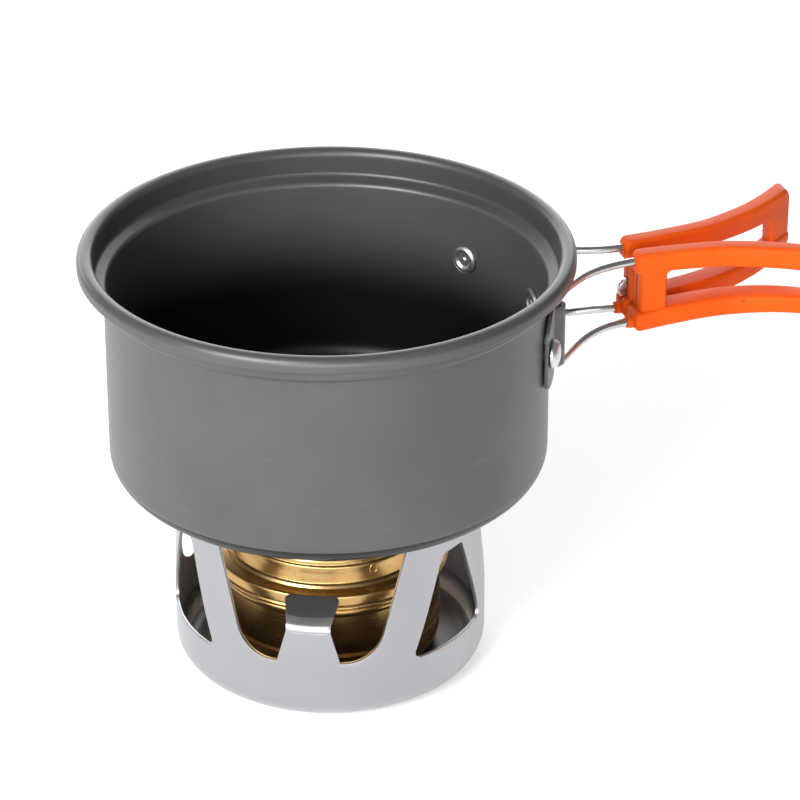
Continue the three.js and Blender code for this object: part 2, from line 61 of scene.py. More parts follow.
# window outlines as (distance from the middle, height, corner radius)
BIG_WINDOW = [
    (9.5, 20.4, 0.5), (19.9, 20.4, 11), (29.2, 59, 3), (-29.2, 59, 3), (-19.9, 20.4, 11), (-9.5, 20.4, 0.5),
    (-TAB_HALF_FOLD, TAB_FOLD_Z, 0), (TAB_HALF_FOLD, TAB_FOLD_Z, 0),
]
SMALL_WINDOW = [(16.9, 17.4, 2.2), (4.7, 49, 1.6), (-4.7, 49, 1.6), (-16.9, 17.4, 2.2)]
BIG_WINDOW_TURNS = (120, 240, 360)
SMALL_WINDOW_TURNS = (60, 180, 300)
TAB_TURNS = (0, 120, 240)

# ---- burner ----
BURNER_Z = 1.3
COLLAR_TOP = 44.7
SEAM_Z = 32.1
JETS = 20
JET_RING = 28
JET_R = 0.8
JET_SIDES = 16
MARK_TURN = -82
MARK_REACH = 30.83
MARK_Z = 40.5

# ---- pot ----
POT_Z = 63.4
POT_H = 71.3
MID_DROP = 28.3
STRAP_R = 67.1
STRAP_T = 1.1
STRAP_NEAR = 37.6
STRAP_FAR = 39.4
STRAP_BOTTOM = 38.8
HINGE = (64.4, 20.1)
KNUCKLE_R = 2.7
RIVET_ANGLES = {"near": -30, "centre": 0, "far": 32}

# ---- handles: heights are given as drops below the pot's rim ----
WIRE_R = 1.25
WIRE_BEND = 2.5
WIRE_END_X = 112
WIRE_UPPER = 17.0
WIRE_LOWER_HINGE = 40.0
WIRE_LOWER_GRIP = 37.0
WIRE_RISE = 0.12
ENTRY_Y = 5.1
GRIP_X0 = 94.6
GRIP_X1 = 158.2
GRIP_T = 6.0
GRIP_EASE = 1.35
ARM_T = 8.4
ARM_TIP_T = 6.2
ARM_TAPER_X = 132
WEB_T = 4.4
WEB_Y = 3
TONGUE_DROP = 30.8
TONGUE_R = 3.4
TONGUE_HALF_T = 1
TONGUE_X = 97
TONGUE_ROOT_X = 100.7
# centre lines of a handle and of its lower arm from above: distance from the pot's axis, from the mid plane
PLAN = [
    HINGE, (67.5, 17.3), (70.7, 14.4), (76, 10.2), (81, 7.6), (86.5, 6), (91, 5.3), (94.6, 5.1), (102, 5.3),
    (109, 5.9), (117, 6.8), (124, 8.1), (132, 11), (140, 14.7), (147, 19), (158.2, 27.7), (161.5, 30.2),
]
ARM_PLAN = [
    (93, 4.75), (102, 4.8), (109, 5.15), (117, 5.75), (124, 6.9), (132, 9.5), (140, 13.3), (147, 17.9),
    (158.2, 27.2), (161.5, 29.8),
]


# ---- geometry helpers ----
def rounded(corners, closed=True, step=10.0):
    """A polyline through (x, y, fillet radius) corners, each corner eased by a true arc."""
    out = []
    count = len(corners)
    for i, (x, y, radius) in enumerate(corners):
        here = Vector((x, y))
        if radius <= 0 or (not closed and i in (0, count - 1)):
            out.append(here)
            continue
        back = Vector(corners[i - 1][:2]) - here
        ahead = Vector(corners[(i + 1) % count][:2]) - here
        reach = 0.95 * min(back.length, ahead.length) - 0.5
        back.normalize()
        ahead.normalize()
        half = math.acos(max(-1.0, min(1.0, back.dot(ahead)))) / 2
        if half > math.radians(88):
            out.append(here)
            continue
        length = min(radius / math.tan(half), reach)
        radius = length * math.tan(half)
        centre = here + (back + ahead).normalized() * (radius / math.sin(half))
        start = here + back * length - centre
        end = here + ahead * length - centre
        turn = math.pi - 2 * half
        if start.x * end.y - start.y * end.x < 0:
            turn = -turn
        steps = max(1, round(abs(math.degrees(turn)) / step))
        for k in range(steps + 1):
            angle = turn * k / steps
            out.append(centre + Vector((start.x * math.cos(angle) - start.y * math.sin(angle),
                                        start.x * math.sin(angle) + start.y * math.cos(angle))))
    return [(p.x, p.y) for p in out]


def arc(cx, cy, radius, first, last, steps):
    """Points on an arc, angles in degrees."""
    angles = [math.radians(first + (last - first) * i / steps) for i in range(steps + 1)]
    return [(cx + radius * math.cos(a), cy + radius * math.sin(a)) for a in angles]


def catmull(points, per_span):
    """A centripetal Catmull-Rom spline through points of any dimension."""
    pts = [Vector(p) for p in points]
    pts = [pts[0] * 2 - pts[1]] + pts + [pts[-1] * 2 - pts[-2]]
    out = []
    for i in range(1, len(pts) - 2):
        p0, p1, p2, p3 = pts[i - 1:i + 3]
        t0 = 0.0
        t1 = t0 + math.sqrt((p1 - p0).length)
        t2 = t1 + math.sqrt((p2 - p1).length)
        t3 = t2 + math.sqrt((p3 - p2).length)
        for k in range(per_span):
            t = t1 + (t2 - t1) * k / per_span
            a1 = p0 * ((t1 - t) / (t1 - t0)) + p1 * ((t - t0) / (t1 - t0))
            a2 = p1 * ((t2 - t) / (t2 - t1)) + p2 * ((t - t1) / (t2 - t1))
            a3 = p2 * ((t3 - t) / (t3 - t2)) + p3 * ((t - t2) / (t3 - t2))
            b1 = a1 * ((t2 - t) / (t2 - t0)) + a2 * ((t - t0) / (t2 - t0))
            b2 = a2 * ((t3 - t) / (t3 - t1)) + a3 * ((t - t1) / (t3 - t1))
            out.append(b1 * ((t2 - t) / (t2 - t1)) + b2 * ((t - t1) / (t2 - t1)))
    out.append(pts[-2])
    return out


def smoothstep(value, low, high):
    """0 below low, 1 above high and an eased rise between them."""
    t = max(0.0, min(1.0, (value - low) / (high - low)))
    return t * t * (3 - 2 * t)


def inside(point, loop):
    """Whether a 2-D point lies in a closed loop."""
    x, y = point
    hit = False
    for (x0, y0), (x1, y1) in zip(loop, loop[1:] + loop[:1]):
        if (y0 > y) != (y1 > y) and x < x0 + (y - y0) * (x1 - x0) / (y1 - y0):
            hit = not hit
    return hit


def away(point, loop, gap):
    """Whether a 2-D point is at least gap from every point of a finely divided loop."""
    return all((point[0] - x) ** 2 + (point[1] - y) ** 2 >= gap * gap for x, y in loop)


def divide(loop, longest):
    """The same closed loop with no side longer than longest."""
    out = []
    for (x0, y0), (x1, y1) in zip(loop, loop[1:] + loop[:1]):
        parts = max(1, math.ceil(math.hypot(x1 - x0, y1 - y0) / longest))
        out += [(x0 + (x1 - x0) * k / parts, y0 + (y1 - y0) * k / parts) for k in range(parts)]
    return out


def triangulate(outer, holes, extra):
    """Triangles of the region between loops, using extra points inside it. Returns points and faces."""
    points = []
    edges = []
    for loop in [outer] + holes:
        first = len(points)
        points += [Vector(p) for p in loop]
        edges += [(first + k, first + (k + 1) % len(loop)) for k in range(len(loop))]
    points += [Vector(p) for p in extra]
    verts, _, faces, *_ = delaunay_2d_cdt(points, edges, [], 0, 1e-5)
    kept = []
    for face in faces:
        centre = sum((verts[i] for i in face), Vector((0, 0))) / len(face)
        if inside(centre, outer) and not any(inside(centre, hole) for hole in holes):
            kept.append(list(face))
    return [tuple(v) for v in verts], kept


def new_object(name, verts, faces, sharp=35.0, weld=0.0):
    """An object from millimetre vertices, faces turned outwards, smooth except at sharp edges."""
    mesh = bpy.data.meshes.new(name)
    mesh.from_pydata([tuple(c * MM for c in v) for v in verts], [], faces)
    work = bmesh.new()
    work.from_mesh(mesh)
    if weld:
        bmesh.ops.remove_doubles(work, verts=work.verts, dist=weld * MM)
    bmesh.ops.recalc_face_normals(work, faces=work.faces)
    work.to_mesh(mesh)
    work.free()
    obj = bpy.data.objects.new(name, mesh)
    bpy.context.scene.collection.objects.link(obj)
    shade(obj, sharp)
    return obj


def shade(obj, sharp):
    """Smooth shading, kept sharp at edges steeper than an angle in degrees."""
    obj.data.shade_smooth()
    obj.data.set_sharp_from_angle(angle=math.radians(sharp))


def apply_modifiers(obj, sharp=35.0):
    """Turns the object's modifiers into real mesh."""
    graph = bpy.context.evaluated_depsgraph_get()
    mesh = bpy.data.meshes.new_from_object(obj.evaluated_get(graph))
    obj.modifiers.clear()
    obj.data = mesh
    shade(obj, sharp)
    return obj


def lathe(name, profile, segments=160, sharp=35.0):
    """A body of revolution about Z from a closed (radius, height) profile."""
    turns = [2 * math.pi * k / segments for k in range(segments)]
    verts = []
    rings = []
    for radius, height in profile:
        if radius < 1e-6:
            rings.append([len(verts)])
            verts.append((0, 0, height))
        else:
            rings.append(list(range(len(verts), len(verts) + segments)))
            verts += [(radius * math.cos(t), radius * math.sin(t), height) for t in turns]
    faces = []
    pairs = list(zip(rings, rings[1:]))
    if len(rings[0]) > 1:
        pairs.append((rings[-1], rings[0]))
    for a, b in pairs:
        for k in range(segments):
            n = (k + 1) % segments
            quad = [a[k % len(a)], a[n % len(a)], b[n % len(b)], b[k % len(b)]]
            quad = [v for i, v in enumerate(quad) if v not in quad[:i]]
            if len(quad) > 2:
                faces.append(quad)
    return new_object(name, verts, faces, sharp)


def tube(name, path, radius, sides=20):
    """A round bar along a path, closed at both ends."""
    points = [Vector(p) for p in path]
    verts = []
    faces = []
    tangent = (points[1] - points[0]).normalized()
    across = tangent.orthogonal().normalized()
    for i, point in enumerate(points):
        after = points[min(i + 1, len(points) - 1)] - points[max(i - 1, 0)]
        turn = tangent.rotation_difference(after.normalized())
        across = turn @ across
        tangent = after.normalized()
        across = (across - tangent * across.dot(tangent)).normalized()
        side = tangent.cross(across)
        for k in range(sides):
            a = 2 * math.pi * k / sides
            verts.append(point + across * (radius * math.cos(a)) + side * (radius * math.sin(a)))
    for i in range(len(points) - 1):
        for k in range(sides):
            n = (k + 1) % sides
            faces.append((i * sides + k, i * sides + n, (i + 1) * sides + n, (i + 1) * sides + k))
    faces.append(tuple(range(sides)))
    faces.append(tuple(range((len(points) - 1) * sides, len(points) * sides)))
    return new_object(name, verts, faces, 50)


def cut(obj, cutter, mode="DIFFERENCE"):
    """Cuts (or joins) a closed cutter from an object and removes the cutter."""
    modifier = obj.modifiers.new("cut", "BOOLEAN")
    modifier.operation = mode
    modifier.solver = "EXACT"
    modifier.object = cutter
    apply_modifiers(obj)
    bpy.data.objects.remove(cutter)


def move(obj, matrix):
    """Moves the mesh itself, so that the object stays at the origin."""
    obj.data.transform(matrix)
    return obj


def lift(obj, height):
    """Raises the mesh by a height in millimetres."""
    return move(obj, Matrix.Translation((0, 0, height * MM)))


def box_mesh(name, low, high):
    """A closed box for cutting."""
    xs, ys, zs = zip(low, high)
    verts = [(x, y, height) for x in xs for y in ys for height in zs]
    faces = [(0, 1, 3, 2), (4, 6, 7, 5), (0, 4, 5, 1), (2, 3, 7, 6), (0, 2, 6, 4), (1, 5, 7, 3)]
    return new_object(name, verts, faces)


def flip(obj):
    """Turns every face of a mesh round."""
    work = bmesh.new()
    work.from_mesh(obj.data)
    bmesh.ops.reverse_faces(work, faces=work.faces)
    work.to_mesh(obj.data)
    work.free()


def thicken(obj, thickness, edge, limit):
    """Gives an open sheet its thickness inward from its outer face, and eases its edges."""
    solid = obj.modifiers.new("sheet", "SOLIDIFY")
    solid.thickness = thickness * MM
    solid.offset = -1
    solid.use_even_offset = True
    ease_edges(obj, edge, 2, limit)


def ease_edges(obj, width, segments, limit):
    """Rounds every edge steeper than an angle in degrees."""
    edge = obj.modifiers.new("edge", "BEVEL")
    edge.width = width * MM
    edge.segments = segments
    edge.limit_method = "ANGLE"
    edge.angle_limit = math.radians(limit)
    apply_modifiers(obj, 40)


# ---- stand ----
def stand_point(angle, run):
    """Outside face of the stand: run is the height on the wall, and carries on round the bottom corner."""
    if run >= STAND_CORNER:
        lean = smoothstep(run, 20, 50) * 0.9 + smoothstep(run, 50, STAND_H) * 0.3
        radius, height = STAND_R - lean, run
    else:
        a = (STAND_CORNER - run) / STAND_CORNER
        radius = STAND_R - STAND_CORNER + STAND_CORNER * math.cos(a)
        height = STAND_CORNER - STAND_CORNER * math.sin(a)
    return (radius * math.cos(angle), radius * math.sin(angle), height)


def window_loop(corners, turn):
    """A window's outline on the unrolled wall, as (arc length, height) at the stand's outside radius."""
    loop = []
    for x, z in divide(rounded(corners, step=8), 1.4):
        radius = math.hypot(*stand_point(0, z)[:2])
        loop.append(((math.radians(turn) + math.asin(x / radius)) * STAND_R, z))
    return loop


def tab_rows():
    """Half width, inward distance and rise of a tab's flap, row by row from the fold to the end."""
    slope = math.atan2(TAB_END_Z - TAB_FOLD_Z, STAND_R - TAB_END_R)
    total = math.pi / 2 - slope
    bend = [total * k / 5 for k in range(1, 6)]
    rows = [(TAB_BEND * (1 - math.cos(a)), TAB_BEND * math.sin(a)) for a in bend]
    start = rows[-1]
    length = (STAND_R - TAB_END_R - start[0]) / math.cos(slope)
    marks = [0.2, 0.4, 0.6, 0.8]
    marks += [1 - TAB_CORNER / length * (1 - math.sin(math.radians(a))) for a in range(0, 91, 15)]
    ahead = (length * math.cos(slope), length * math.sin(slope))
    rows += [(start[0] + ahead[0] * m, start[1] + ahead[1] * m) for m in marks]
    result = []
    for inward, rise in rows:
        along = max(0.0, (inward - start[0]) / math.cos(slope))
        half = TAB_HALF_FOLD + (TAB_HALF_END - TAB_HALF_FOLD) * min(1, along / length)
        over = along - (length - TAB_CORNER)
        if over > 0:
            half -= TAB_CORNER - math.sqrt(max(0.0, TAB_CORNER ** 2 - over ** 2))
        result.append((half, inward, rise))
    return result


def stand_wall(turns):
    """The wall and bottom corner between two seams, with every window left open. Returns points and faces."""
    runs = [STAND_CORNER * (1 - math.pi / 2 * k / 8) for k in range(8, 0, -1)]
    runs += [STAND_CORNER + (STAND_H - STAND_CORNER) * k / 30 for k in range(31)]
    windows = [window_loop(BIG_WINDOW, t) for t in BIG_WINDOW_TURNS]
    windows += [window_loop(SMALL_WINDOW, t) for t in SMALL_WINDOW_TURNS]
    outer = [(t * STAND_R, runs[0]) for t in turns]
    outer += [(turns[-1] * STAND_R, r) for r in runs[1:]]
    outer += [(t * STAND_R, runs[-1]) for t in reversed(turns[:-1])]
    outer += [(turns[0] * STAND_R, r) for r in reversed(runs[1:-1])]
    boxes = [(min(p[0] for p in w) - 1, max(p[0] for p in w) + 1, w) for w in windows]
    extra = []
    for t in turns[1:-1]:
        for r in runs[1:-1]:
            point = (t * STAND_R, r)
            near = [w for low, high, w in boxes if low < point[0] < high]
            if all(not inside(point, w) and away(point, w, 0.6) for w in near):
                extra.append(point)
    flat, faces = triangulate(outer, windows, extra)
    return [stand_point(p[0] / STAND_R, p[1]) for p in flat], faces


def add_stand_floor(verts, faces, turns):
    """Adds the floor to the wall's points and faces, ring by ring in from the corner."""
    rings = []
    for radius in (STAND_R - STAND_CORNER, 34, 28, 22, 16, 10, 5):
        rings.append(list(range(len(verts), len(verts) + STAND_COLUMNS)))
        verts += [(radius * math.cos(t), radius * math.sin(t), 0) for t in turns[:-1]]
    for a, b in zip(rings, rings[1:]):
        for k in range(STAND_COLUMNS):
            n = (k + 1) % STAND_COLUMNS
            faces.append((a[k], a[n], b[n], b[k]))
    centre = len(verts)
    verts.append((0, 0, 0))
    faces += [(rings[-1][k], rings[-1][(k + 1) % STAND_COLUMNS], centre) for k in range(STAND_COLUMNS)]


def add_tab_flap(verts, faces, turn):
    """Adds the flap bent in from one tab, from the curved fold line to its flat end."""
    spin = Matrix.Rotation(math.radians(turn), 3, "Z")
    fold_radius = math.hypot(*stand_point(0, TAB_FOLD_Z)[:2])
    shares = [2 * k / TAB_COLUMNS - 1 for k in range(TAB_COLUMNS + 1)]
    first = len(verts)
    for share in shares:
        x = TAB_HALF_FOLD * share
        verts.append(spin @ Vector((math.sqrt(fold_radius ** 2 - x * x), x, TAB_FOLD_Z)))
    rows = tab_rows()
    for half, inward, rise in rows:
        for share in shares:
            y = half * share
            bowed = math.sqrt(fold_radius ** 2 - y * y)
            radial = bowed + (fold_radius - 0.25 - bowed) * smoothstep(inward, 0, 3) - inward
            verts.append(spin @ Vector((radial, y, TAB_FOLD_Z + rise)))
    for j in range(len(rows)):
        for k in range(TAB_COLUMNS):
            a = first + j * (TAB_COLUMNS + 1) + k
            faces.append((a, a + 1, a + TAB_COLUMNS + 2, a + TAB_COLUMNS + 1))


def build_stand():
    """The drawn steel cup: one sheet with its floor, windows and bent-in tabs."""
    start = math.radians(STAND_SEAM)
    turns = [start + 2 * math.pi * k / STAND_COLUMNS for k in range(STAND_COLUMNS + 1)]
    verts, faces = stand_wall(turns)
    add_stand_floor(verts, faces, turns)
    for turn in TAB_TURNS:
        add_tab_flap(verts, faces, turn)
    obj = new_object("stand_windshield", verts, faces, weld=0.02)
    move(obj, Matrix.Rotation(math.radians(STAND_PHASE), 4, "Z"))
    if min(obj.data.polygons, key=lambda f: f.center.z).normal.z > 0:
        flip(obj)
    thicken(obj, SHEET, 0.16, 50)
    return obj


# ---- burner ----
def build_bowl():
    """The spun fuel bowl, with a pressed bead round its wall and a flared, beaded rim."""
    profile = rounded([
        (0, 0, 0), (33.5, 0, 7.5), (33.5, 10.6, 1), (33.95, 11.7, 0.6), (33.95, 12.9, 0.6), (33.5, 14, 1),
        (33.5, 27.3, 1.2), (35.3, 28.6, 0.7), (35.4, 29.7, 0.4), (34.9, 30.2, 0.2), (35.9, 30.6, 0.25),
        (36, 31.3, 0.3), (35.6, 31.8, 0.2), (34.6, 31.8, 0.3), (32.6, 28.2, 1), (32.6, 0.9, 6.6),
        (0, 0.9, 0)],
        closed=False)
    return lift(lathe("burner_fuel_bowl", profile), BURNER_Z)


def build_collar():
    """The stepped collar crimped on the bowl, with a ring of flame jets through its top."""
    top = COLLAR_TOP
    seam = SEAM_Z
    profile = rounded([
        (34.9, seam, 0.2), (36, seam, 0.35), (36, seam + 3.2, 0.7), (34.9, seam + 3.5, 0.6),
        (32.5, seam + 3.8, 0.6), (31.9, seam + 4.7, 0.4), (31.25, seam + 5.1, 0.35), (31.1, seam + 6.1, 0.6),
        (30.85, seam + 8.2, 4), (31.05, top - 2.3, 0.7), (30.35, top - 1.7, 0.35), (30.35, top - 0.9, 0.3),
        (30.9, top - 0.6, 0.25), (30.6, top, 0.35), (27, top - 0.1, 2), (25.2, top - 0.5, 1),
        (24.6, top - 1.4, 0.6), (24.6, top - 3, 0.3), (25.5, top - 3, 0.3), (25.5, top - 1.6, 0.4),
        (27.3, top - 1, 1), (29.4, top - 1, 0.3), (29.4, top - 2, 0.4), (30.1, top - 2.7, 0.5),
        (29.9, seam + 8.2, 3), (30.2, seam + 5.6, 0.5), (31.2, seam + 2.9, 0.6), (34.9, seam + 2.6, 0.3)],
        step=14)
    obj = lathe("burner_jet_collar", profile)
    cut(obj, jet_pins(top - 2.2, top + 1))
    return lift(obj, BURNER_Z)


def jet_pins(low, high):
    """A ring of upright pins that cut the flame jets."""
    verts = []
    faces = []
    sides = [2 * math.pi * k / JET_SIDES for k in range(JET_SIDES)]
    for i in range(JETS):
        turn = 2 * math.pi * (i + 0.5) / JETS
        x = JET_RING * math.cos(turn)
        y = JET_RING * math.sin(turn)
        first = len(verts)
        for height in (low, high):
            verts += [(x + JET_R * math.cos(b), y + JET_R * math.sin(b), height) for b in sides]
        for k in range(JET_SIDES):
            n = (k + 1) % JET_SIDES
            faces.append((first + k, first + n, first + JET_SIDES + n, first + JET_SIDES + k))
        faces.append(tuple(range(first, first + JET_SIDES)))
        faces.append(tuple(range(first + JET_SIDES, first + 2 * JET_SIDES)))
    return new_object("jets", verts, faces)


def build_sleeve():
    """The straight inner sleeve round the open well."""
    profile = rounded([
        (24.2, 4, 0.2), (24.2, 43.0, 0.3), (24.2, 43.9, 0.4), (23.3, 43.9, 0.4), (23.4, 43.0, 0.3),
        (23.4, 4, 0.2)])
    return lift(lathe("burner_inner_sleeve", profile), BURNER_Z)


def build_wick():
    """The ring of cotton packing between the sleeve and the bowl, with a lumpy, matted surface."""
    outline = rounded([
        (24.6, 1.4, 0.5), (26.1, 1.4, 0.5), (29.9, 3.3, 2), (32.1, 7.6, 3), (32.1, 26, 1.5), (24.6, 26, 1.2)])
    profile = divide(outline, 0.9)
    obj = lathe("burner_cotton_wick", profile)
    for vertex in obj.data.vertices:
        lump = noise.noise(vertex.co * 420) + 0.5 * noise.noise(vertex.co * 1100)
        vertex.co -= vertex.normal * (0.12 + 0.12 * max(-1.0, min(1.0, lump))) * MM
    return lift(obj, BURNER_Z)


def build_neck_mark():
    """The small pressed ring on the burner's neck."""
    sides = [2 * math.pi * k / 10 for k in range(10)]
    obj = lathe("burner_neck_mark", [(1.15 + 0.22 * math.cos(a), 0.22 * math.sin(a)) for a in sides], 28)
    turn = math.radians(MARK_TURN)
    lie = Matrix.Rotation(turn, 4, "Z") @ Matrix.Rotation(math.pi / 2, 4, "Y")
    lie = lie @ Matrix.Diagonal((1.3, 1, 1, 1))
    spot = Vector((MARK_REACH * math.cos(turn), MARK_REACH * math.sin(turn), BURNER_Z + MARK_Z))
    return move(obj, Matrix.Translation(spot * MM) @ lie)


# ---- pot ----
def build_pot():
    """The drawn pot: floor, wall, lid step and a rim rolled outward."""
    profile = rounded([(0, 0, 0), (65.6, 0, 7.8), (65.5, 61.0, 1.8), (69.2, 62.7, 1.6), (69.3, 68.9, 0)],
                      closed=False, step=8)
    profile += arc(70.6, 68.9, 1.3, 180, 0, 12)[1:]
    profile += rounded([(71.9, 68.9, 0), (71.9, 66.8, 0.5), (73, 66.8, 0.5), (73, 68.9, 0)],
                       closed=False)[1:]
    profile += arc(70.6, 68.9, 2.4, 0, 180, 22)[1:]
    profile += rounded([(68.2, 68.9, 0), (68.1, 63.1, 1.5), (64.5, 61.3, 1.6), (64.5, 1.2, 6.6), (0, 1.2, 0)],
                       closed=False, step=8)[1:]
    return lift(lathe("pot_shell_drawn", profile, 224), POT_Z)


def strap_radius(angle):
    """Outside radius of the strap, swelling over each hinge wire."""
    hinge_r = math.hypot(*HINGE)
    hinge_a = math.atan2(HINGE[1], HINGE[0])
    off = min(abs(angle - hinge_a), abs(angle + hinge_a))
    side = hinge_r * math.sin(off)
    if side >= 6:
        return STRAP_R
    ease = STRAP_R + 1.2 * math.exp(-(max(0.0, side - 2.2) / 0.9) ** 2) - 0.9
    if side >= KNUCKLE_R:
        return max(STRAP_R, ease)
    swell = hinge_r * math.cos(off) + math.sqrt(KNUCKLE_R ** 2 - side ** 2)
    return max(STRAP_R, swell, ease)


def half_strap(reach):
    """Corners of one half of the strap's outline, from its middle to a reach along the wall."""
    drops = [(9, 17, 3), (13.5, 19.4, 3), (25, 19.4, 3), (28.5, 15, 2.4), (reach - 4.6, 15, 2.5),
             (reach, 20.5, 6), (reach, STRAP_BOTTOM, 3)]
    return [(y, POT_H - drop, radius) for y, drop, radius in drops]


def build_strap():
    """The riveted strap, one sheet wrapped round the pot and swelling over both hinge wires."""
    corners = half_strap(STRAP_FAR)
    corners += [(-y, height, radius) for y, height, radius in reversed(half_strap(STRAP_NEAR))]
    outline = divide(rounded(corners, step=12), 1.0)
    hinge_y = STRAP_R * math.sin(math.atan2(HINGE[1], HINGE[0]))
    ys = [-37 + 1.2 * k for k in range(64)]
    ys = [y for y in ys if abs(abs(y) - hinge_y) >= 3.7]
    ys += [side * hinge_y + 0.3 * k for side in (-1, 1) for k in range(-12, 13)]
    extra = []
    for y in sorted(ys):
        for k in range(1, 20):
            point = (y, POT_H - STRAP_BOTTOM + k * 1.2)
            if inside(point, outline) and away(point, outline, 0.5):
                extra.append(point)
    flat, faces = triangulate(outline, [], extra)
    verts = []
    for y, height in flat:
        angle = math.asin(y / STRAP_R)
        radius = strap_radius(angle)
        verts.append((radius * math.cos(angle), radius * math.sin(angle), height))
    obj = new_object("handle_strap_plate", verts, faces)
    if sum(f.normal.x * f.area for f in obj.data.polygons) < 0:
        flip(obj)
    thicken(obj, STRAP_T, 0.2, 55)
    return lift(obj, POT_Z)


def build_rivet(label, angle):
    """A rivet whose axis runs out from the pot: dished ring head inside, dome outside."""
    profile = rounded([
        (0, 63.35, 0), (0.55, 63.4, 0.3), (0.95, 63.75, 0.3), (2.1, 63.8, 0.4), (2.75, 63.2, 0.5),
        (3.55, 63.15, 0.6), (4.25, 63.6, 0.3), (4.25, 64.05, 0.1), (1.9, 64.05, 0), (1.9, 67.45, 0),
        (4.3, 67.45, 0.1), (4.3, 68.0, 0.5), (3.3, 69.25, 1.5), (1.6, 69.7, 2), (0, 69.75, 0)],
        closed=False)
    obj = lathe(f"rivet_{label}_dome", profile, 56)
    turn = Matrix.Rotation(math.radians(angle), 4, "Z") @ Matrix.Rotation(math.pi / 2, 4, "Y")
    return move(obj, Matrix.Translation((0, 0, (POT_Z + POT_H - MID_DROP) * MM)) @ turn)


# ---- handles ----
PLAN_LINE = catmull(PLAN, 12)
ARM_LINE = catmull(ARM_PLAN, 12)


def plan_at(line, x):
    """A centre line's distance from the middle plane and its slope, at a distance x from the pot's axis."""
    for a, b in zip(line, line[1:]):
        if a.x <= x <= b.x:
            share = (x - a.x) / (b.x - a.x)
            return a.y + (b.y - a.y) * share, (b.y - a.y) / (b.x - a.x)
    raise ValueError(x)


def pot_z(drop):
    """Height of a point given as a drop below the pot's rim."""
    return POT_Z + POT_H - drop


def wire_corner(hinge, heading, drop, turn):
    """The bend between a wire's pin and an arm, from the arm to the pin; turn is -1 for a downward bend."""
    points = []
    for a in range(15, 90, 15):
        step = 1 - math.sin(math.radians(a))
        fall = 1 - math.cos(math.radians(a))
        height = pot_z(drop) + turn * WIRE_BEND * fall
        points.append(hinge + heading * (WIRE_BEND * step) + Vector((0, 0, height)))
    return points


def lower_drop(x):
    """Drop of the wire's lower arm at a distance from the pot's axis."""
    settle = (WIRE_LOWER_GRIP - WIRE_LOWER_HINGE) * smoothstep(x, HINGE[0], 88)
    return WIRE_LOWER_HINGE + settle - WIRE_RISE * max(0, x - GRIP_X0)


def build_wire(side, label):
    """One handle's bent wire: upper arm, hinge pin and lower arm."""
    hinge = Vector((*HINGE, 0))
    arm = [Vector((p.x, p.y, 0)) for p in PLAN_LINE if p.x <= WIRE_END_X]
    arm = [p for p in arm if (p - hinge).length >= WIRE_BEND]
    heading = (arm[0] - hinge).normalized()
    high = pot_z(WIRE_UPPER + WIRE_BEND)
    low = pot_z(WIRE_LOWER_HINGE - WIRE_BEND)
    path = [Vector((p.x, p.y, pot_z(WIRE_UPPER))) for p in reversed(arm)]
    path += wire_corner(hinge, heading, WIRE_UPPER, -1)
    path += [hinge + Vector((0, 0, high + (low - high) * k / 12)) for k in range(13)]
    path += reversed(wire_corner(hinge, heading, WIRE_LOWER_HINGE, 1))
    path += [Vector((p.x, p.y, pot_z(lower_drop(p.x)))) for p in arm]
    path = [Vector((p.x, p.y * side, p.z)) for p in path]
    return tube(f"handle_wire_{label}", path, WIRE_R)


def inset(loop, distance):
    """A closed loop moved inwards; the loop runs anticlockwise round material, clockwise round a hole."""
    out = []
    count = len(loop)
    for i, point in enumerate(loop):
        here = Vector(point)
        before = Vector(loop[i - 1])
        after = Vector(loop[(i + 1) % count])
        tangent = (here - before).normalized() + (after - here).normalized()
        tangent.normalize()
        out.append(tuple(here + Vector((-tangent.y, tangent.x)) * distance))
    return out


def ring_area(loop):
    """Area of a closed loop, positive when it runs anticlockwise."""
    return sum(x0 * y1 - x1 * y0 for (x0, y0), (x1, y1) in zip(loop, loop[1:] + loop[:1])) / 2


def anticlockwise(loop):
    """The loop, reversed if it runs clockwise."""
    return loop if ring_area(loop) > 0 else loop[::-1]


def slab(name, outline, thickness, ease, line, side, tip=None):
    """A flat moulding with eased edges from an (x, drop, fillet) outline, bent along a plan line.

    With a tip thickness, it thins toward the outer end of a grip.
    """
    half = thickness / 2
    corners = [(x, pot_z(drop), radius) for x, drop, radius in outline]
    loop = anticlockwise(divide(rounded(corners, step=9), 1.6))
    quarter = [(ease * (1 - math.cos(a)), half - ease * (1 - math.sin(a)))
               for a in (math.radians(18 * k) for k in range(6))]
    levels = [(shift, -level) for shift, level in reversed(quarter)] + quarter
    verts = []
    faces = []
    rings = []
    for shift, level in levels:
        rings.append(list(range(len(verts), len(verts) + len(loop))))
        verts += [(x, level, height) for x, height in inset(loop, shift)]
    for a, b in zip(rings, rings[1:]):
        faces += [(a[k], a[(k + 1) % len(loop)], b[(k + 1) % len(loop)], b[k]) for k in range(len(loop))]
    cap = inset(loop, ease)
    xs, heights = zip(*cap)
    columns = int((max(xs) - min(xs)) / 1.5) + 1
    rows = int((max(heights) - min(heights)) / 1.3) + 1
    grid = [(min(xs) + 1.5 * i, min(heights) + 1.3 * j) for i in range(columns) for j in range(rows)]
    grid = [p for p in grid if inside(p, cap) and away(p, cap, 0.6)]
    flat, caps = triangulate(cap, [], grid)
    for level in (-half, half):
        first = len(verts)
        verts += [(p[0], level, p[1]) for p in flat]
        faces += [[first + i for i in face] for face in caps]
    bent = []
    for x, level, height in verts:
        centre, slope = plan_at(line, x)
        if tip:
            level *= 1 + (tip / thickness - 1) * smoothstep(x, ARM_TAPER_X, GRIP_X1)
        bent.append((x, side * (centre + level * math.sqrt(1 + slope * slope)), height))
    return new_object(name, bent, faces, weld=0.01)


